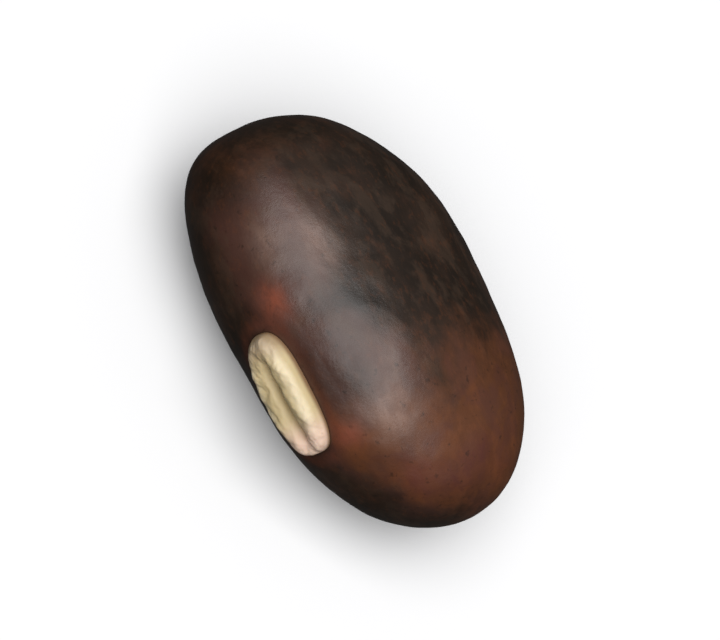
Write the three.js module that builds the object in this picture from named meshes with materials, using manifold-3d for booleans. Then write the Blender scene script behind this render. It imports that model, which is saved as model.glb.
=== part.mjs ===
// A velvet bean seed (Mucuna pruriens), lying on one flank on a flat surface.
// It grew as one piece, so it is one closed solid: a plump oblong bean with the aril on it, which is the
// raised cream lip round the hilum, the scar where the seed hung in its pod.
// Millimetres. +X runs along the seed to the end nearer the hilum, the hilum faces -Y, and +Z is up.
// The origin is under the middle of the seed, on the surface it rests on.

import * as THREE from "three";
import { mergeVertices } from "three/addons/utils/BufferGeometryUtils.js";
import Module from "manifold-3d";

// Driving dimensions of the bean
const LENGTH = 15.45; // end to end, less 0.15 that the slow unevenness takes off
const WIDTH = 9.5; // hilum side to back
const THICKNESS = 7.1; // flank to flank
const NEAR_END_SQUARENESS = 2.0; // exponent of the outline seen on a flank, where 2 is an ellipse
const FAR_END_SQUARENESS = 2.3;
const SECTION_SQUARENESS = 2.15; // and of the cross-section
const FAR_END_SKEW = 0.95; // how far the tip of the far end leans to the hilum side
const FAR_END_SKEW_POWER = 5; // the higher, the nearer to the tip it begins
const THICKER_NEAR_END = 0.03; // share that the thickness gains towards the end by the hilum
const THICKER_FRONT = 0.06; // share that it gains towards the hilum side
const END_FULLNESS = 0.14; // share that it gains towards both ends, which makes them blunt
const LEAN = THREE.MathUtils.degToRad(5); // the seed lies rolled back by this much, which lifts the hilum
const FLAT_SPOT_DEPTH = 0.1; // how much of the belly is pressed flat where it rests

// Driving dimensions of the hilum and its aril
const HILUM_ALONG = 0.8; // from the middle towards the near end
const HILUM_RISE = THREE.MathUtils.degToRad(3.5); // above the seed's own mid-plane
const HILUM_TURN = THREE.MathUtils.degToRad(6); // turned so that its near end lies lower than its far end
const SLIT_HALF_LENGTH = 1.2; // the slit that runs down the middle of the scar
const SLIT_SHIFT = 0.28; // how much nearer it lies to the aril's near end than to its far end
const ARIL_SQUARENESS = 2.6; // the lip is a narrow oblong with round ends

// The lip's section, from the slit outwards: distance from the slit, height above the seed coat
const SCAR_SECTION = [
  [0, -0.12],
  [0.05, 0.02],
  [0.09, 0.13],
];
const LIP_SECTION = [
  [0.14, 0.27],
  [0.21, 0.39],
  [0.33, 0.47],
  [0.5, 0.5],
  [0.66, 0.46],
  [0.79, 0.34],
  [0.88, 0.17],
];
const FOOT_SECTION = [
  [0.93, -0.03],
  [1.06, 0.0],
  [1.35, 0.02],
];
const LIP_GAP_HALF_ANGLE = 0.3; // the lip is notched at its end towards the near end of the seed
const LIP_GAP_DROP = 0.3; // share of its height that it loses there
const LIP_CLOSED_END_GAIN = 0.12; // share of its height that it gains at its other end
const LIP_CLOSED_HALF_ANGLE = 0.7;

// Slow unevenness of the surface: waves through the seed, in radians a millimetre, and their height
const WAVES = [
  { run: new THREE.Vector3(0.55, 0.42, 0.3), phase: 0.6, height: 0.06 },
  { run: new THREE.Vector3(-0.38, 0.75, 0.62), phase: 2.1, height: 0.045 },
  { run: new THREE.Vector3(0.95, -0.5, 0.7), phase: 4.0, height: 0.035 },
];
// Shallow hollows left as the seed dried: where they lie, how far they reach and how deep they are
const HOLLOWS = [
  { at: new THREE.Vector3(-1.2, 1.8, 3.4), reach: new THREE.Vector3(3.0, 1.5, 3), depth: 0.15 },
  { at: new THREE.Vector3(2.2, 1.9, -3.4), reach: new THREE.Vector3(2.4, 1.4, 3), depth: 0.14 },
];

// Mesh steps
const SECTORS = 72;
const OUTER_RINGS = 36;
const RING_GROWTH = 1.1; // natural log of how much wider the last ring is than the first
const NORMAL_STEP = 0.05; // how far apart the points lie that a normal is worked out from
const MERGE_DISTANCE = 1e-4;

const HALF = new THREE.Vector3(LENGTH / 2, WIDTH / 2, THICKNESS / 2);
const FARTHEST = Math.PI * HALF.y; // from the hilum to the back, measured as the rings are
const ROUND_BY = 0.6 * FARTHEST; // where the rings have turned from the aril's oblong into circles

// The bean's surface in a direction from its middle, without the aril.
function bodyPoint(direction) {
  const [x, y, z] = direction.toArray().map(Math.abs);
  const squareness = THREE.MathUtils.mapLinear(direction.x, -1, 1, FAR_END_SQUARENESS, NEAR_END_SQUARENESS);
  const section = (y / HALF.y) ** SECTION_SQUARENESS + (z / HALF.z) ** SECTION_SQUARENESS;
  const outline = (x / HALF.x) ** squareness + section ** (squareness / SECTION_SQUARENESS);
  const p = direction.clone().multiplyScalar(outline ** (-1 / squareness));
  const along = p.x / HALF.x;
  const front = -p.y / HALF.y;
  p.z *= 1 + THICKER_NEAR_END * along + THICKER_FRONT * front + END_FULLNESS * along ** 2;
  if (along < 0) p.y -= FAR_END_SKEW * (-along) ** FAR_END_SKEW_POWER;
  let relief = 0;
  for (const wave of WAVES) relief += wave.height * Math.sin(wave.run.dot(p) + wave.phase);
  for (const hollow of HOLLOWS) {
    const off = p.clone().sub(hollow.at).divide(hollow.reach).lengthSq();
    relief -= hollow.depth * Math.exp(-off);
  }
  return p.addScaledVector(direction, relief);
}

// The hilum's own directions: out of the seed, along it and up across the scar.
const OUT = new THREE.Vector3(
  HILUM_ALONG,
  -HALF.y * Math.cos(HILUM_RISE),
  HALF.y * Math.sin(HILUM_RISE),
).normalize();
const ALONG = new THREE.Vector3(1, 0, 0).addScaledVector(OUT, -OUT.x).normalize();
ALONG.applyAxisAngle(OUT, -HILUM_TURN);
const ACROSS = new THREE.Vector3().crossVectors(OUT, ALONG);

// The point of the bean s along and q across from the middle of the hilum, measured over the surface.
function groundPoint(s, q) {
  const far = Math.hypot(s, q);
  const turn = far / HALF.y;
  const direction = OUT.clone().multiplyScalar(Math.cos(turn));
  if (far > 0) {
    direction.addScaledVector(ALONG, (Math.sin(turn) * s) / far);
    direction.addScaledVector(ACROSS, (Math.sin(turn) * q) / far);
  }
  return bodyPoint(direction);
}

// The same point raised by a height along the surface's normal.
function raisedPoint(s, q, height) {
  const p = groundPoint(s, q);
  if (height === 0) return p;
  const alongStep = groundPoint(s + NORMAL_STEP, q).sub(groundPoint(s - NORMAL_STEP, q));
  const acrossStep = groundPoint(s, q + NORMAL_STEP).sub(groundPoint(s, q - NORMAL_STEP));
  const normal = alongStep.cross(acrossStep).normalize();
  return p.addScaledVector(normal, height);
}

// How high the lip stands at an angle round the scar: 0 is the near end of the seed, pi the far end.
function lipShare(angle) {
  const fromGap = Math.abs(Math.atan2(Math.sin(angle), Math.cos(angle)));
  const gap = Math.exp(-((fromGap / LIP_GAP_HALF_ANGLE) ** 2));
  const closed = Math.exp(-(((Math.PI - fromGap) / LIP_CLOSED_HALF_ANGLE) ** 2));
  return 1 - LIP_GAP_DROP * gap + LIP_CLOSED_END_GAIN * closed;
}

// The rings of the mesh, from the slit over the scar, the lip and its foot to the seed's back.
function ringList() {
  const inner = [
    ...SCAR_SECTION.map(([distance, height]) => ({ distance, height, lip: false })),
    ...LIP_SECTION.map(([distance, height]) => ({ distance, height, lip: true })),
    ...FOOT_SECTION.map(([distance, height]) => ({ distance, height, lip: false })),
  ];
  const start = FOOT_SECTION.at(-1)[0];
  const outer = [];
  for (let k = 1; k < OUTER_RINGS; k++) {
    const share = Math.expm1((RING_GROWTH * k) / OUTER_RINGS) / Math.expm1(RING_GROWTH);
    outer.push({ distance: start + (FARTHEST - start) * share, height: 0, lip: false });
  }
  return [...inner, ...outer];
}

// The place of a ring's vertex: an oblong round the slit near the hilum, a circle far from it.
function ringPoint(ring, angle) {
  const opened = THREE.MathUtils.smoothstep(ring.distance, FOOT_SECTION[0][0], ROUND_BY);
  const slit = SLIT_HALF_LENGTH * (1 - opened);
  const power = 2 / THREE.MathUtils.lerp(ARIL_SQUARENESS, 2, opened);
  const [c, s] = [Math.cos(angle), Math.sin(angle)];
  const shift = SLIT_SHIFT * Math.max(0, 1 - ring.distance / FOOT_SECTION[0][0]);
  const along = shift + (slit + ring.distance) * Math.sign(c) * Math.abs(c) ** power;
  const across = ring.distance * Math.sign(s) * Math.abs(s) ** power;
  const height = ring.lip ? ring.height * lipShare(angle) : ring.height;
  return raisedPoint(along, across, height);
}

// The seed's closed surface, round its own middle.
function seedGeometry() {
  const rings = ringList();
  const positions = [];
  const index = [];
  for (const ring of rings)
    for (let j = 0; j < SECTORS; j++) {
      // The slit's two sides meet along its bottom, so both take the same places there.
      const at = ring.distance === 0 ? Math.min(j, SECTORS - j) : j;
      positions.push(...ringPoint(ring, (2 * Math.PI * at) / SECTORS).toArray());
    }
  const back = rings.length * SECTORS;
  positions.push(...groundPoint(FARTHEST, 0).toArray());
  for (let k = 0; k < rings.length; k++)
    for (let j = 0; j < SECTORS; j++) {
      const next = (j + 1) % SECTORS;
      const [a, b] = [k * SECTORS + j, k * SECTORS + next];
      if (k === rings.length - 1) index.push(a, back, b);
      else index.push(a, a + SECTORS, b + SECTORS, a, b + SECTORS, b);
    }
  const geometry = new THREE.BufferGeometry();
  geometry.setAttribute("position", new THREE.Float32BufferAttribute(positions, 3));
  geometry.setIndex(index);
  return mergeVertices(geometry, MERGE_DISTANCE);
}

const wasm = await Module();
wasm.setup();

// A closed geometry as a solid that can be cut.
function solidOf(geometry) {
  const bare = geometry.clone();
  bare.deleteAttribute("normal");
  bare.deleteAttribute("uv");
  const merged = mergeVertices(bare, MERGE_DISTANCE);
  const mesh = new wasm.Mesh({
    numProp: 3,
    vertProperties: merged.attributes.position.array,
    triVerts: new Uint32Array(merged.index.array),
  });
  return new wasm.Manifold(mesh);
}

// A cut solid's surface as a geometry.
function geometryOf(solid) {
  const mesh = solid.getMesh();
  const geometry = new THREE.BufferGeometry();
  geometry.setAttribute("position", new THREE.BufferAttribute(mesh.vertProperties, 3));
  geometry.setIndex(new THREE.BufferAttribute(mesh.triVerts, 1));
  return geometry;
}

// The seed rolled back onto its flank, with the spot that it rests on pressed flat, standing on Z = 0.
function restingGeometry() {
  const seed = seedGeometry().rotateX(-LEAN);
  seed.computeBoundingBox();
  const ground = seed.boundingBox.min.z + FLAT_SPOT_DEPTH;
  const slab = new THREE.BoxGeometry(2 * LENGTH, 2 * LENGTH, LENGTH);
  slab.translate(0, 0, ground - LENGTH / 2);
  const rested = geometryOf(solidOf(seed).subtract(solidOf(slab)));
  rested.computeBoundingBox();
  const middle = rested.boundingBox.getCenter(new THREE.Vector3());
  return rested.translate(-middle.x, -middle.y, -rested.boundingBox.min.z);
}

const seedCoat = new THREE.MeshStandardMaterial({ color: 0x33241f, roughness: 0.5, metalness: 0 });
const seed = new THREE.Mesh(restingGeometry(), seedCoat);
seed.name = "seed";

const velvetBeanSeed = new THREE.Group();
velvetBeanSeed.name = "velvet_bean_seed";
velvetBeanSeed.add(seed);

export default velvetBeanSeed;
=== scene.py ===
import math

import bpy
import numpy as np
from mathutils import Matrix, Quaternion, Vector, noise


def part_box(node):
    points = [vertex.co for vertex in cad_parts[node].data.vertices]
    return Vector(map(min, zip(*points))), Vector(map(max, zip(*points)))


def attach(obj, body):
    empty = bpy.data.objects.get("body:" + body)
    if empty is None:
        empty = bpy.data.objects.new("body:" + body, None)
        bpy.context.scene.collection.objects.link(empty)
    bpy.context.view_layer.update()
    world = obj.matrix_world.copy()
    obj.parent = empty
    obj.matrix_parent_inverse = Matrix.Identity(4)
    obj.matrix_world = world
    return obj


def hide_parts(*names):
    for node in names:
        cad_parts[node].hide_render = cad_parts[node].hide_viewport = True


# A velvet bean seed on a pale floor. Its form is worked out in millimetres, with the formulas of the CAD
# model on a much finer mesh, and set into the CAD seed's place in metres. It is two pieces: the seed coat
# and the aril.

METRES = 0.001  # one millimetre
TINY = 1e-9  # keeps a distance of zero out of a division

# Driving dimensions of the bean, as in the CAD model
LENGTH = 15.45
WIDTH = 9.5
THICKNESS = 7.1
NEAR_END_SQUARENESS = 2.0
FAR_END_SQUARENESS = 2.3
SECTION_SQUARENESS = 2.15
FAR_END_SKEW = 0.95
FAR_END_SKEW_POWER = 5
THICKER_NEAR_END = 0.03
THICKER_FRONT = 0.06
END_FULLNESS = 0.14
LEAN = math.radians(5)
FLAT_SPOT_DEPTH = 0.1
FLAT_SPOT_ROUNDING = 0.02

# Slow unevenness of the bean: waves by direction, phase and height, and hollows by place, reach and depth
WAVES = [
    ((0.55, 0.42, 0.3), 0.6, 0.06),
    ((-0.38, 0.75, 0.62), 2.1, 0.045),
    ((0.95, -0.5, 0.7), 4.0, 0.035),
]
HOLLOWS = [
    ((-1.2, 1.8, 3.4), (3.0, 1.5, 3.0), 0.15),
    ((2.2, 1.9, -3.4), (2.4, 1.4, 3.0), 0.14),
]

# Driving dimensions of the hilum and its aril, as in the CAD model
HILUM_ALONG = 0.8
HILUM_RISE = math.radians(3.5)
HILUM_TURN = math.radians(6)
SLIT_HALF_LENGTH = 1.2
SLIT_SHIFT = 0.28
ARIL_SQUARENESS = 2.6
ARIL_EDGE = 0.93  # how far the foot of the lip lies from the slit
ROUND_SHARE = 0.6  # the share of the way to the far side by which the rings round the scar are circles
LIP_GAP_HALF_ANGLE = 0.3
LIP_GAP_DROP = 0.3
LIP_CLOSED_END_GAIN = 0.12
LIP_CLOSED_HALF_ANGLE = 0.7

# Sections from the slit outwards: distance from the slit, height above the seed coat
LIP_TOP = [
    (0.04, -0.1),
    (0.05, 0.02),
    (0.09, 0.13),
    (0.14, 0.27),
    (0.21, 0.39),
    (0.33, 0.47),
    (0.5, 0.5),
    (0.66, 0.46),
    (0.79, 0.34),
    (0.88, 0.17),
    (0.93, -0.03),
    (0.935, -0.14),
]
LIP_UNDERSIDE = [(0.8, -0.3), (0.45, -0.34), (0.12, -0.3)]
COAT_SECTION = [
    (0.0, -0.16),
    (0.3, -0.2),
    (0.7, -0.2),
    (0.86, -0.1),
    (0.95, -0.02),
    (1.06, 0.0),
    (1.35, 0.02),
    (1.8, 0.0),
]

# Fine relief: size of the noise in waves a millimetre, and its height in millimetres
COAT_RELIEF = [(0.4, 0.06), (1.1, 0.02), (2.8, 0.006)]
LIP_RELIEF = [(1.1, 0.1), (3.0, 0.05), (7.0, 0.02)]
LIP_RELIEF_SQUEEZE = (1.0, 1.6, 1.6)  # makes the lip's relief run along it
LIP_RELIEF_RISE = (0.05, 0.3)  # the heights on the lip between which its relief comes in
LENS_PLACE = (-3.0, 0.25)  # the small swelling past the aril's far end: along and across from the hilum
LENS_RADIUS = 0.38
LENS_HEIGHT = 0.05
PORE_PLACE = (2.75, 0.05)  # the tiny pit past its near end
PORE_RADIUS = 0.12
PORE_DEPTH = 0.05

# Mesh steps
SECTORS = 320
COAT_INNER_RINGS = 44
COAT_OUTER_RINGS = 190
RING_GROWTH = 1.1
COAT_STEPS_A_SEGMENT = 8
LIP_STEPS_A_SEGMENT = 5
NORMAL_STEP = 0.05

# Marks on the seed coat: place in millimetres, reach along and across, and strength
# Pale tan marks laid on as painted highlights, where the coat's sheen is to look brighter
PAINTED_HIGHLIGHT_MARKS = [
    ((-2.95, -2.0, 6.6), 1.0, 0.6, 0.5),
    ((1.75, -2.14, 6.91), 0.7, 0.6, 0.2),
    ((3.1, -2.75, 6.35), 0.85, 0.85, 0.7),
    ((-3.7, -3.3, 5.75), 0.9, 0.6, 0.4),
]
# Near-black marks: a few dark patches, painted shade along the lower front rim, the near end's lower rim and
# just above the aril, and painted dark gaps that break up the sheen
DARK_AND_SHADE_MARKS = [
    ((1.65, -3.21, 6.33), 0.7, 0.5, 0.6),
    ((-1.08, -2.56, 6.68), 0.6, 0.6, 0.4),
    ((-1.05, -3.1, 6.3), 0.5, 0.4, 0.4),
    ((-0.81, 0.18, 7.0), 1.2, 0.25, 0.6),
    ((-5.56, -1.15, 6.23), 0.3, 0.3, 0.6),
    ((-5.0, 0.35, 6.4), 0.6, 0.8, 0.8),
    ((-7.2, -0.8, 4.6), 1.4, 2.4, 0.8),
    ((5.4, -3.2, 3.9), 1.8, 1.1, 0.5),
    ((7.2, -0.9, 4.7), 1.2, 1.5, 0.55),
    ((-4.5, -4.1, 3.2), 2.2, 0.8, 0.7),
    ((0.8, -4.0, 5.5), 1.5, 0.4, 0.6),
]
RUST_MARKS = [
    ((-1.93, -3.88, 5.41), 0.65, 0.5, 0.75),
    ((3.08, -3.79, 5.26), 0.5, 0.45, 0.6),
    ((5.3, -2.2, 5.6), 0.8, 0.6, 0.15),
    ((6.77, 0.54, 5.37), 1.0, 1.2, 0.15),
]
RUST_ROUND_ARIL = (0.25, 0.25, 0.2)  # a faint ring: how far outside the lip, its reach and its strength
WINE_MARKS = [
    ((5.65, -0.1, 6.1), 0.5, 0.6, 0.5),
    ((6.1, -1.1, 5.7), 0.8, 0.8, 0.6),
    ((5.5, -2.5, 5.3), 0.8, 0.6, 0.5),
]
BROWN_MARKS = [((-5.9, -2.4, 5.6), 1.0, 1.2, 0.3)]
NEAR_END_EDGE = (0.2, 5.2)  # where along the seed its near end turns chestnut
FAR_TIP_EDGE = (-5.4, -7.4)  # where its far tip turns a little chestnut
FAR_TIP_BROWN = 0.3  # how strongly it does
PLUM_EDGE = (-0.7, -1.9)  # how far to the front the dark back gives way to the plum-brown front
PLUM_DIP = (-1.0, 1.1, 1.0)  # where that edge dips further to the front, how far along, and how much
PLUM_END = (-6.8, -4.6)  # where the plum brown gives out towards the far end
# The front darkens low down, towards the underside: partly the coat's own dark colour, partly painted shade
FRONT_SHADE = (3.4, 4.7)  # the heights between which the plum-brown front gives way to the dark underside
NEAR_END_SHADE = (4.0, 5.3)  # the same for the front of the chestnut near end
NEAR_END_FRONT = (0.5, -1.8)  # how far to the front that shade begins and is full
MOTTLING = [(0.35, 1.3), (0.9, 0.7), (2.2, 0.4)]  # unevenness of those edges: waves a millimetre and reach
PLUM_MOTTLING = 0.6  # how much of it the plum brown's edge takes
SHADE_MOTTLING = 0.5  # how much of it the shades' edges take
SCAR_EDGE = (0.83, 1.05)  # the distances from the slit between which the scar's brown gives out

# Parts of the aril, by the height on the lip, the distance from the slit and the place along the hilum
CREST_HEIGHTS = (0.25, 0.45)
CREST_DISTANCES = (0.4, 0.68)
RIDGE_MIDDLE = 0.5
GROOVE_HEIGHTS = (-0.05, 0.28)
FOOT_HEIGHTS = (0.0, 0.2)
PINK_END = (0.7, 1.7)
PINK_STRENGTH = 0.75
DULL_END = (-0.9, -1.8)
DULL_STRENGTH = 0.6

# Colours of the seed coat and of the aril: linear red, green and blue
BLACK = (0.013, 0.0072, 0.0035)
UMBER = (0.035, 0.018, 0.010)
TAWNY = (0.080, 0.048, 0.030)
PLUM = (0.072, 0.030, 0.021)
CHESTNUT = (0.134, 0.043, 0.014)
LIVER = (0.075, 0.026, 0.020)
WINE = (0.088, 0.022, 0.021)
RUST = (0.260, 0.068, 0.034)
# a pale tan for the painted highlights
PAINTED_HIGHLIGHT = (0.250, 0.150, 0.112)
SCAR = (0.030, 0.017, 0.011)
CREAM = (0.610, 0.480, 0.260)
IVORY = (0.850, 0.720, 0.490)
PINK = (0.820, 0.570, 0.470)
DULL = (0.340, 0.220, 0.140)
GROOVE = (0.400, 0.280, 0.120)
FOOT = (0.260, 0.150, 0.075)
FRECKLE = (0.420, 0.270, 0.130)

# Patches: size in millimetres, detail, roughness, distortion, and the noise between which they come in
BROAD_PATCHES = (2.6, 3.0, 0.5, 0.2, 0.36, 0.64)
BLOTCHES = (0.75, 6.0, 0.62, 0.25, 0.47, 0.63)
LIVER_PATCHES = (1.3, 4.0, 0.55, 0.4, 0.45, 0.62)
FLECKS = (0.2, 4.0, 0.65, 0.2, 0.52, 0.68)
SPECKS = (0.28, 3.0, 0.6, 0.3, 0.6, 0.72)
BREAKS = (0.45, 6.0, 0.65, 0.4, 0.38, 0.62)  # they break up the soft marks
LIP_PATCHES = (0.5, 4.0, 0.55, 0.3, 0.4, 0.64)
LIP_FRECKLES = (0.16, 3.0, 0.6, 0.0, 0.64, 0.76)
STREAKS = (0.6, 1.0, 1.0)  # how the coat's noise is stretched along the seed
LIP_STREAKS = (0.5, 1.0, 1.0)

# Noise: size in millimetres, detail, roughness and distortion
CHESTNUT_EDGE_GRAIN = (0.9, 6.0, 0.62, 0.3)
COAT_DULLNESS_GRAIN = (0.7, 6.0, 0.65)
COAT_BUMP_GRAIN = (0.12, 3.0, 0.6)
COAT_BUMP_STREAKS = (0.5, 4.0, 0.5)
LIP_BUMP_GRAIN = (0.1, 3.0, 0.6)
LIP_BUMP_WAVES = (0.35, 3.0, 0.5)

# How far each layer of colour covers what lies under it
UMBER_SHARE = 0.8
TAWNY_SHARE = 0.3
LIVER_SHARE = 0.45
FLECK_SHARE = 0.2
SPECK_SHARE = 0.5
FRECKLE_SHARE = 0.4

# How noise steers a share or the roughness: gain and base
PLUM_BY_PATCHES = (0.3, 0.7)
CHESTNUT_BY_BLOTCHES = (0.25, 0.75)
CHESTNUT_EDGE_BY_GRAIN = (1.4, -0.7)
MARKS_BY_BREAKS = (0.5, 0.6)
IVORY_BY_PATCHES = (0.35, 0.65)
COAT_ROUGHNESS = (0.3, 0.2)
LIP_ROUGHNESS = (0.14, 0.5)
CHESTNUT_DULLER = 0.06  # how much rougher the chestnut parts are

# Bumps: strength, and depth in millimetres
COAT_BUMP = (0.35, 0.018)
LIP_BUMP = (0.5, 0.015)

# Light that goes into the waxy lip and comes out again: its share, its reach by colour, and the depth
LIP_GLOW = 0.15
LIP_GLOW_REACH = (1.0, 0.7, 0.4)
LIP_GLOW_DEPTH = 0.25

# The places of the colour sockets on a Mix node
MIX_SHARE = 0
MIX_FIRST = 6
MIX_SECOND = 7
MIX_RESULT = 2

# The camera looks from the hilum's side and down on the seed, and is rolled, as the photograph sees it
ELEVATION = math.radians(55)
ROLL = math.radians(60.1)  # how far the seed's length points below the picture's right
LENS = 200.0  # millimetres, on Blender's 36 mm sensor
FRAME_HEIGHT = 21.5  # of the picture at the seed, in millimetres
PICTURE = (720, 640)
CLIP_START = 0.01  # of the camera's distance

BACK = np.array([0.0, -math.cos(ELEVATION), math.sin(ELEVATION)])
LEVEL_UP = np.array([0.0, math.sin(ELEVATION), math.cos(ELEVATION)])
LEVEL_RIGHT = np.array([1.0, 0.0, 0.0])
CAMERA_RIGHT = math.cos(ROLL) * LEVEL_RIGHT + math.sin(ROLL) * LEVEL_UP
CAMERA_UP = math.cos(ROLL) * LEVEL_UP - math.sin(ROLL) * LEVEL_RIGHT

# The soft box overhead: its direction from the seed, distance and size in metres, brightness and turn
KEY_DIRECTION = (0.03, -0.35, 0.9)
KEY_DISTANCE = 2.0
KEY_SIZE = (2.2, 2.7)
KEY_RADIANCE = 3.1
KEY_TURN = math.radians(30)

# Brightness of the surroundings: low down and overhead as the seed sees them, and as the camera sees them
DOME_LOW = (0.05, 0.05, 0.05)
DOME_HIGH = (0.22, 0.22, 0.23)
DOME_RISE = (0.0, 0.7)
BACKDROP = (0.93, 0.93, 0.93, 1.0)

FLOOR_COLOUR = (0.92, 0.92, 0.92, 1.0)
FLOOR_HALF_SIDE = 1000.0  # millimetres
FLOOR_ROUGHNESS = 0.9
FLOOR_SPECULAR = 0.2

HALF = np.array([LENGTH, WIDTH, THICKNESS]) / 2
FARTHEST = math.pi * HALF[1]  # how far the far side lies from the hilum, measured over the surface
ROUND_BY = ROUND_SHARE * FARTHEST

# The hilum's own directions: out of the seed, along it and up across the scar
OUT = np.array([HILUM_ALONG, -HALF[1] * math.cos(HILUM_RISE), HALF[1] * math.sin(HILUM_RISE)])
OUT /= np.linalg.norm(OUT)
ALONG = np.array([1.0, 0.0, 0.0]) - OUT[0] * OUT
ALONG /= np.linalg.norm(ALONG)
ALONG = np.array(Matrix.Rotation(-HILUM_TURN, 3, Vector(OUT))) @ ALONG
ACROSS = np.cross(OUT, ALONG)


def smooth(low, high, x):
    """A smooth step from 0 at low to 1 at high."""
    t = np.clip((x - low) / (high - low), 0, 1)
    return t * t * (3 - 2 * t)


def spot(s, q, place, radius):
    """1 in the middle of a round spot and 0 well away from it."""
    return np.exp(-(((s - place[0]) ** 2 + (q - place[1]) ** 2) / radius ** 2))


def body_points(direction):
    """The bean's surface in each direction from its middle, without the aril."""
    x, y, z = np.abs(direction).T
    nearness = (direction[:, 0] + 1) / 2
    squareness = FAR_END_SQUARENESS + nearness * (NEAR_END_SQUARENESS - FAR_END_SQUARENESS)
    section = (y / HALF[1]) ** SECTION_SQUARENESS + (z / HALF[2]) ** SECTION_SQUARENESS
    outline = (x / HALF[0]) ** squareness + section ** (squareness / SECTION_SQUARENESS)
    p = direction * (outline ** (-1 / squareness))[:, None]
    along = p[:, 0] / HALF[0]
    front = -p[:, 1] / HALF[1]
    p[:, 2] *= 1 + THICKER_NEAR_END * along + THICKER_FRONT * front + END_FULLNESS * along ** 2
    p[:, 1] -= FAR_END_SKEW * np.clip(-along, 0, None) ** FAR_END_SKEW_POWER
    relief = np.zeros(len(p))
    for run, phase, height in WAVES:
        relief += height * np.sin(p @ np.array(run) + phase)
    for at, reach, depth in HOLLOWS:
        relief -= depth * np.exp(-(((p - at) / np.array(reach)) ** 2).sum(axis=1))
    return p + direction * relief[:, None]


def ground_points(s, q):
    """The bean's points s along and q across from the middle of the hilum, measured over the surface."""
    far = np.hypot(s, q)
    turn = far / HALF[1]
    share = np.sin(turn) / np.maximum(far, TINY)
    direction = np.outer(np.cos(turn), OUT) + np.outer(share * s, ALONG) + np.outer(share * q, ACROSS)
    return body_points(direction)


def normals(s, q):
    """The bean's outward normals there."""
    along_step = ground_points(s + NORMAL_STEP, q) - ground_points(s - NORMAL_STEP, q)
    across_step = ground_points(s, q + NORMAL_STEP) - ground_points(s, q - NORMAL_STEP)
    normal = np.cross(along_step, across_step)
    return normal / np.linalg.norm(normal, axis=1)[:, None]


def lip_share(angle):
    """How high the lip stands at an angle round the scar, as a share of its full height."""
    from_gap = np.abs(np.arctan2(np.sin(angle), np.cos(angle)))
    gap = np.exp(-((from_gap / LIP_GAP_HALF_ANGLE) ** 2))
    closed = np.exp(-(((math.pi - from_gap) / LIP_CLOSED_HALF_ANGLE) ** 2))
    return 1 - LIP_GAP_DROP * gap + LIP_CLOSED_END_GAIN * closed


def ring_places(distance, angle):
    """Where each distance and angle lies, along and across: oblong rings by the slit, round ones far off."""
    opened = smooth(ARIL_EDGE, ROUND_BY, distance)
    slit = SLIT_HALF_LENGTH * (1 - opened)
    power = 2 / (ARIL_SQUARENESS + (2 - ARIL_SQUARENESS) * opened)
    cosine, sine = np.cos(angle), np.sin(angle)
    shift = SLIT_SHIFT * np.clip(1 - distance / ARIL_EDGE, 0, None)
    along = shift + (slit + distance) * np.sign(cosine) * np.abs(cosine) ** power
    across = distance * np.sign(sine) * np.abs(sine) ** power
    return along, across


def curve_through(points, steps):
    """Points on a smooth curve through the given ones, with so many steps between each two."""
    held = np.array([points[0], *points, points[-1]], float)
    t = (np.arange(steps) / steps)[:, None]
    made = []
    for a, b, c, d in zip(held, held[1:], held[2:], held[3:]):
        bend = 2 * a - 5 * b + 4 * c - d + t * (3 * (b - c) + d - a)
        made.append(b + 0.5 * t * (c - a + t * bend))
    return np.vstack([*made, held[-1:]])


def roughen(points, relief):
    """Noise of several sizes at each point, in millimetres."""
    heights = np.zeros(len(points))
    for waves, height in relief:
        heights += height * np.array([noise.noise(Vector(p * waves)) for p in points])
    return heights


def grid_faces(rings, closed_loop):
    """The quads between neighbouring rings, and between the last ring and the first in a closed loop."""
    from_rings = np.arange(rings if closed_loop else rings - 1)
    ring, sector = np.meshgrid(from_rings, np.arange(SECTORS), indexing="ij")
    next_ring = (ring + 1) % rings
    next_sector = (sector + 1) % SECTORS
    corners = [(ring, sector), (next_ring, sector), (next_ring, next_sector), (ring, next_sector)]
    return np.stack([r * SECTORS + j for r, j in corners], axis=-1).reshape(-1, 4).tolist()


def coat_form():
    """The seed coat's points, its faces and how far each point lies from the slit."""
    inner = np.linspace(0, COAT_SECTION[-1][0], COAT_INNER_RINGS)
    growth = RING_GROWTH * np.arange(1, COAT_OUTER_RINGS) / COAT_OUTER_RINGS
    share = np.expm1(growth) / math.expm1(RING_GROWTH)
    distance = np.concatenate([inner[1:], inner[-1] + (FARTHEST - inner[-1]) * share])
    angle = 2 * math.pi * np.arange(SECTORS) / SECTORS
    distances, angles = [a.ravel() for a in np.meshgrid(distance, angle, indexing="ij")]
    s, q = ring_places(distances, angles)
    s = np.append(s, [SLIT_SHIFT, FARTHEST])
    q = np.append(q, [0, 0])
    distances = np.append(distances, [0, FARTHEST])
    ground = ground_points(s, q)
    section = curve_through(COAT_SECTION, COAT_STEPS_A_SEGMENT)
    height = np.interp(distances, section[:, 0], section[:, 1]) + roughen(ground, COAT_RELIEF)
    swelling = LENS_HEIGHT * spot(s, q, LENS_PLACE, LENS_RADIUS)
    pit = PORE_DEPTH * spot(s, q, PORE_PLACE, PORE_RADIUS)
    height += swelling - pit
    points = ground + normals(s, q) * height[:, None]
    faces = grid_faces(len(distance), False)
    middle = len(points) - 2  # the point in the middle of the scar
    back = len(points) - 1  # the point on the far side
    last = (len(distance) - 1) * SECTORS  # where the last ring starts
    for j in range(SECTORS):
        following = (j + 1) % SECTORS
        faces.append([middle, j, following])
        faces.append([last + j, back, last + following])
    return points, faces, distances


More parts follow.
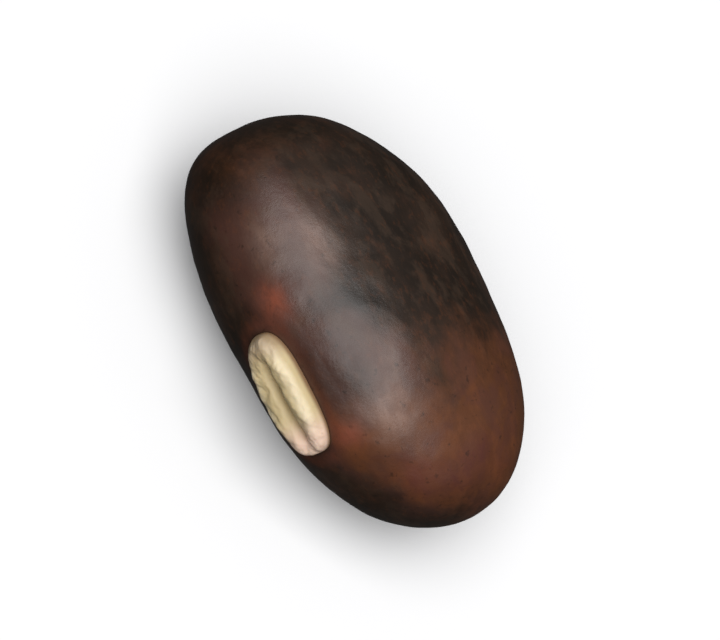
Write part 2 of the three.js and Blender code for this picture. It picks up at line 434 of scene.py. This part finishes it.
def aril_form():
    """The lip's points and faces, a closed ring round the slit, and each point's place on it."""
    top = curve_through(LIP_TOP, LIP_STEPS_A_SEGMENT)
    section = np.vstack([top, LIP_UNDERSIDE])
    angle = 2 * math.pi * np.arange(SECTORS) / SECTORS
    row, angles = [a.ravel() for a in np.meshgrid(np.arange(len(section)), angle, indexing="ij")]
    distances, heights = section[row].T
    s, q = ring_places(distances, angles)
    ground = ground_points(s, q)
    raised = smooth(*LIP_RELIEF_RISE, heights)
    rough = roughen(ground * LIP_RELIEF_SQUEEZE, LIP_RELIEF) * raised
    height = np.where(heights > 0, heights * lip_share(angles), heights) + rough
    points = ground + normals(s, q) * height[:, None]
    return points, grid_faces(len(section), True), s, distances, height


def rested(points):
    """The points rolled back onto the flank."""
    return points @ np.array(Matrix.Rotation(-LEAN, 3, "X")).T


def press_flat(points, ground):
    """Points below the ground pressed up to it, with a little rounding."""
    above = points[:, 2] - ground
    pressed = points.copy()
    pressed[:, 2] = ground + 0.5 * (above + np.hypot(above, FLAT_SPOT_ROUNDING))
    return pressed


def marked(points, marks):
    """How strongly soft marks cover each point."""
    cover = np.zeros(len(points))
    for place, along, across, strength in marks:
        off = (points - place) / (along, across, across)
        cover += strength * np.exp(-(off ** 2).sum(axis=1))
    return cover


def mesh_object(name, points, faces, material):
    """A smooth mesh object, with its points given in millimetres."""
    mesh = bpy.data.meshes.new(name)
    mesh.from_pydata((points * METRES).tolist(), [], faces)
    mesh.update()
    mesh.polygons.foreach_set("use_smooth", [True] * len(mesh.polygons))
    mesh.materials.append(material)
    obj = bpy.data.objects.new(name, mesh)
    bpy.context.scene.collection.objects.link(obj)
    return obj


def add_mask(obj, name, values):
    """A number at each point of the mesh, which its material reads."""
    attribute = obj.data.attributes.new(name, "FLOAT", "POINT")
    attribute.data.foreach_set("value", np.clip(values, 0, 1).astype(np.float32))


def add(tree, kind, inputs=None, **settings):
    """A new shader node with its settings, each input given a value or linked to an output."""
    node = tree.nodes.new("ShaderNode" + kind)
    for name, value in settings.items():
        setattr(node, name, value)
    for name, value in (inputs or {}).items():
        if isinstance(value, bpy.types.NodeSocket):
            tree.links.new(value, node.inputs[name])
        else:
            node.inputs[name].default_value = value
    return node


def mask(tree, name):
    """The number that the mesh holds at each point."""
    return add(tree, "Attribute", attribute_name=name).outputs["Fac"]


def grain(tree, place, size, detail, roughness, distortion=0.0):
    """Noise with features of about that size in millimetres."""
    look = {"Scale": 1 / size, "Detail": detail, "Roughness": roughness, "Distortion": distortion}
    return add(tree, "TexNoise", {"Vector": place, **look}).outputs["Fac"]


def step(tree, value, low, high):
    """A smooth step of a value from 0 at low to 1 at high."""
    inputs = {"Value": value, "From Min": low, "From Max": high}
    return add(tree, "MapRange", inputs, interpolation_type="SMOOTHSTEP").outputs["Result"]


def patches(tree, place, size, detail, roughness, distortion, low, high):
    """Patches of about that size: 0 where the noise is under low and 1 where it is over high."""
    return step(tree, grain(tree, place, size, detail, roughness, distortion), low, high)


def times(tree, a, b):
    """The product of two values."""
    return add(tree, "Math", {0: a, 1: b}, operation="MULTIPLY").outputs[0]


def plus(tree, a, b):
    """The sum of two values."""
    return add(tree, "Math", {0: a, 1: b}, operation="ADD").outputs[0]


def line(tree, value, gain, base):
    """gain * value + base."""
    return plus(tree, times(tree, value, gain), base)


def mix(tree, share, a, b):
    """Two colours mixed by a share."""
    node = add(tree, "Mix", data_type="RGBA")
    for index, value in ((MIX_SHARE, share), (MIX_FIRST, a), (MIX_SECOND, b)):
        if isinstance(value, bpy.types.NodeSocket):
            tree.links.new(value, node.inputs[index])
        else:
            node.inputs[index].default_value = value if index == MIX_SHARE else (*value, 1.0)
    return node.outputs[MIX_RESULT]


def layered(tree, colour, layers):
    """A colour with other colours laid over it one after another, each by its own share."""
    for share, over in layers:
        colour = mix(tree, share, colour, over)
    return colour


def new_material(name):
    """A material, its node tree and its shader."""
    material = bpy.data.materials.new(name)
    material.use_nodes = True
    tree = material.node_tree
    return material, tree, tree.nodes["Principled BSDF"]


def millimetres(tree, scale=(1.0, 1.0, 1.0)):
    """The place on the object in millimetres, stretched by a scale."""
    place = add(tree, "TexCoord").outputs["Object"]
    stretch = tuple(value / METRES for value in scale)
    return add(tree, "Mapping", {"Vector": place, "Scale": stretch}).outputs["Vector"]


def set_bump(tree, shader, height, strength, depth):
    """Fine bumps of a height map, at most so many millimetres deep."""
    bump = add(tree, "Bump", {"Strength": strength, "Distance": depth * METRES, "Height": height})
    tree.links.new(bump.outputs["Normal"], shader.inputs["Normal"])


def seed_coat_material():
    """Hard satin seed coat: near black and dark brown, mottled, redder at the near end and by the aril."""
    material, tree, shader = new_material("seed_coat")
    place = millimetres(tree)
    streaks = millimetres(tree, STREAKS)
    broad = patches(tree, place, *BROAD_PATCHES)
    blotches = patches(tree, streaks, *BLOTCHES)
    broken = line(tree, patches(tree, streaks, *BREAKS), *MARKS_BY_BREAKS)
    uneven = line(tree, grain(tree, streaks, *CHESTNUT_EDGE_GRAIN), *CHESTNUT_EDGE_BY_GRAIN)
    brown = step(tree, plus(tree, mask(tree, "brown"), uneven), 0.0, 1.0)
    layers = [
        (times(tree, broad, UMBER_SHARE), UMBER),
        (times(tree, mask(tree, "plum"), line(tree, broad, *PLUM_BY_PATCHES)), PLUM),
        (times(tree, blotches, TAWNY_SHARE), TAWNY),
        (times(tree, brown, line(tree, blotches, *CHESTNUT_BY_BLOTCHES)), CHESTNUT),
        (times(tree, times(tree, brown, patches(tree, place, *LIVER_PATCHES)), LIVER_SHARE), LIVER),
        (times(tree, mask(tree, "wine"), broken), WINE),
        (times(tree, patches(tree, streaks, *FLECKS), FLECK_SHARE), CHESTNUT),
        # painted highlights
        (times(tree, mask(tree, "painted_highlight"), broken), PAINTED_HIGHLIGHT),
        (times(tree, patches(tree, place, *SPECKS), SPECK_SHARE), BLACK),
        (times(tree, mask(tree, "rust"), broken), RUST),
        # dark patches and painted shade
        (times(tree, mask(tree, "dark_and_shade"), broken), BLACK),
        (mask(tree, "scar"), SCAR),
    ]
    tree.links.new(layered(tree, BLACK, layers), shader.inputs["Base Color"])
    dull = line(tree, grain(tree, place, *COAT_DULLNESS_GRAIN), *COAT_ROUGHNESS)
    dull = plus(tree, dull, times(tree, brown, CHESTNUT_DULLER))
    tree.links.new(dull, shader.inputs["Roughness"])
    fine = plus(tree, grain(tree, place, *COAT_BUMP_GRAIN), grain(tree, streaks, *COAT_BUMP_STREAKS))
    set_bump(tree, shader, fine, *COAT_BUMP)
    return material


def aril_material():
    """Waxy cream aril: ivory crests, a pinkish near end, a dull far end, and a brown groove and foot."""
    material, tree, shader = new_material("aril")
    place = millimetres(tree, LIP_STREAKS)
    cloudy = patches(tree, place, *LIP_PATCHES)
    layers = [
        (times(tree, mask(tree, "crest"), line(tree, cloudy, *IVORY_BY_PATCHES)), IVORY),
        (mask(tree, "near_end"), PINK),
        (mask(tree, "far_end"), DULL),
        (times(tree, patches(tree, place, *LIP_FRECKLES), FRECKLE_SHARE), FRECKLE),
        (mask(tree, "foot"), FOOT),
        (mask(tree, "groove"), GROOVE),
    ]
    tree.links.new(layered(tree, CREAM, layers), shader.inputs["Base Color"])
    tree.links.new(line(tree, cloudy, *LIP_ROUGHNESS), shader.inputs["Roughness"])
    shader.inputs["Subsurface Weight"].default_value = LIP_GLOW
    shader.inputs["Subsurface Radius"].default_value = LIP_GLOW_REACH
    shader.inputs["Subsurface Scale"].default_value = LIP_GLOW_DEPTH * METRES
    fine = plus(tree, grain(tree, place, *LIP_BUMP_GRAIN), grain(tree, place, *LIP_BUMP_WAVES))
    set_bump(tree, shader, fine, *LIP_BUMP)
    return material


def paint_coat(coat, points, distances):
    """Where the coat is brown, plum, rusty, wine red and scarred, where painted highlights lie on it, and
    where dark patches and painted shade darken it.
    """
    uneven = roughen(points, MOTTLING)
    x, y, z = points.T
    # the chestnut near end darkens low on its front: partly its own dark colour, partly painted shade
    lit = smooth(*NEAR_END_SHADE, z + SHADE_MOTTLING * uneven)
    shaded = 1 - (1 - lit) * smooth(*NEAR_END_FRONT, y)
    brown = smooth(*NEAR_END_EDGE, x + uneven) * shaded + FAR_TIP_BROWN * smooth(*FAR_TIP_EDGE, x)
    add_mask(coat, "brown", brown + marked(points, BROWN_MARKS))
    at, reach, by = PLUM_DIP
    dip = by * np.exp(-(((x - at) / reach) ** 2))
    plum = smooth(*PLUM_EDGE, y + dip + PLUM_MOTTLING * uneven) * smooth(*PLUM_END, x)
    # the plum brown darkens low on the front: partly the coat's own dark colour, partly painted shade
    add_mask(coat, "plum", plum * smooth(*FRONT_SHADE, z + SHADE_MOTTLING * uneven))
    out, reach, strength = RUST_ROUND_ARIL
    ring = strength * np.exp(-(((distances - ARIL_EDGE - out) / reach) ** 2))
    add_mask(coat, "rust", ring + marked(points, RUST_MARKS))
    add_mask(coat, "wine", marked(points, WINE_MARKS))
    # painted highlights
    add_mask(coat, "painted_highlight", marked(points, PAINTED_HIGHLIGHT_MARKS))
    # dark patches and painted shade
    add_mask(coat, "dark_and_shade", marked(points, DARK_AND_SHADE_MARKS))
    add_mask(coat, "scar", 1 - smooth(*SCAR_EDGE, distances))


def paint_aril(aril, s, distances, height):
    """Where the lip is ivory, pinkish, dull, and brown in its groove and at its foot."""
    inside = distances < RIDGE_MIDDLE
    add_mask(aril, "crest", smooth(*CREST_HEIGHTS, height) * smooth(*CREST_DISTANCES, distances))
    add_mask(aril, "near_end", PINK_STRENGTH * smooth(*PINK_END, s))
    add_mask(aril, "far_end", DULL_STRENGTH * smooth(*DULL_END, s))
    add_mask(aril, "groove", np.where(inside, 1 - smooth(*GROOVE_HEIGHTS, height), 0))
    add_mask(aril, "foot", np.where(inside, 0, 1 - smooth(*FOOT_HEIGHTS, height)))


def make_seed(cad_low, cad_high):
    """The seed coat and the aril, in the CAD seed's place."""
    coat_points, coat_faces, distances = coat_form()
    lip_points, lip_faces, lip_s, lip_distances, lip_height = aril_form()
    coat_points, lip_points = rested(coat_points), rested(lip_points)
    coat_points = press_flat(coat_points, coat_points[:, 2].min() + FLAT_SPOT_DEPTH)
    both = np.vstack([coat_points, lip_points])
    low = np.array(cad_low) / METRES
    high = np.array(cad_high) / METRES
    size = both.max(axis=0) - both.min(axis=0)
    fit = min(1.0, ((high - low) / size).min())
    shift = (low + high) / 2 - fit * (both.max(axis=0) + both.min(axis=0)) / 2
    shift[2] = low[2] - fit * both[:, 2].min()
    coat_points = fit * coat_points + shift
    coat = mesh_object("seed_coat", coat_points, coat_faces, seed_coat_material())
    aril = mesh_object("aril", fit * lip_points + shift, lip_faces, aril_material())
    paint_coat(coat, coat_points, distances)
    paint_aril(aril, lip_s, lip_distances, lip_height)
    return coat, aril


def make_camera(target):
    """The camera, with the seed in the middle of its picture."""
    data = bpy.data.cameras.new("camera")
    data.lens = LENS
    width = FRAME_HEIGHT * PICTURE[0] / PICTURE[1] * METRES
    distance = width * LENS / data.sensor_width
    camera = bpy.data.objects.new("camera", data)
    turn = Matrix((CAMERA_RIGHT, CAMERA_UP, BACK)).transposed().to_4x4()
    camera.matrix_world = Matrix.Translation(target + Vector(BACK) * distance) @ turn
    data.clip_start = CLIP_START * distance
    bpy.context.scene.collection.objects.link(camera)
    bpy.context.scene.camera = camera


def make_key_light(target):
    """A soft box that shines on the target."""
    data = bpy.data.lights.new("key", "AREA")
    data.shape = "RECTANGLE"
    data.size, data.size_y = KEY_SIZE
    data.energy = KEY_RADIANCE * math.pi * KEY_SIZE[0] * KEY_SIZE[1]
    light = bpy.data.objects.new("key", data)
    away = Vector(KEY_DIRECTION).normalized()
    light.location = target + away * KEY_DISTANCE
    facing = away.to_track_quat("Z", "Y") @ Quaternion((0.0, 0.0, 1.0), KEY_TURN)
    light.rotation_euler = facing.to_euler()
    light.visible_camera = False
    bpy.context.scene.collection.objects.link(light)


def make_world():
    """Pale surroundings: a dim dome that lights the seed, brighter overhead, and a near-white backdrop."""
    world = bpy.data.worlds.new("studio")
    bpy.context.scene.world = world
    world.use_nodes = True
    tree = world.node_tree
    direction = add(tree, "TexCoord").outputs["Generated"]
    height = add(tree, "SeparateXYZ", {"Vector": direction}).outputs["Z"]
    dome = mix(tree, step(tree, height, *DOME_RISE), DOME_LOW, DOME_HIGH)
    lighting = add(tree, "Background", {"Color": dome}).outputs[0]
    backdrop = add(tree, "Background", {"Color": BACKDROP}).outputs[0]
    seen = add(tree, "LightPath").outputs["Is Camera Ray"]
    shown = add(tree, "MixShader", {0: seen, 1: lighting, 2: backdrop}).outputs[0]
    tree.links.new(shown, tree.nodes["World Output"].inputs["Surface"])


def make_floor():
    """A plain pale floor."""
    material, _, shader = new_material("floor")
    shader.inputs["Base Color"].default_value = FLOOR_COLOUR
    shader.inputs["Roughness"].default_value = FLOOR_ROUGHNESS
    shader.inputs["Specular IOR Level"].default_value = FLOOR_SPECULAR
    half = FLOOR_HALF_SIDE
    corners = np.array([(-half, -half, 0), (half, -half, 0), (half, half, 0), (-half, half, 0)])
    floor = mesh_object("floor", corners, [[0, 1, 2, 3]], material)
    floor.visible_glossy = False
    floor.visible_diffuse = False


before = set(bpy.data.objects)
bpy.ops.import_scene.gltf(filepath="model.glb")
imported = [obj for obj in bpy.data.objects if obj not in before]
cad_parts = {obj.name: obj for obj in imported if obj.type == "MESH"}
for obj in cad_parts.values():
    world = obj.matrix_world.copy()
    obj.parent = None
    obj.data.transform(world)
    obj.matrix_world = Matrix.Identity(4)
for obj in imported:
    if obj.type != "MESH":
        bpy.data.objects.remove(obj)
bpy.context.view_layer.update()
low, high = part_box("seed")
middle = (low + high) / 2

coat, aril = make_seed(low, high)
for piece in (coat, aril):
    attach(piece, "root")
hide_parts("seed")

make_camera(middle)
make_world()
make_floor()
make_key_light(middle)

scene = bpy.context.scene
scene.view_settings.view_transform = "Standard"
scene.view_settings.look = "None"
scene.view_settings.exposure = 0.0
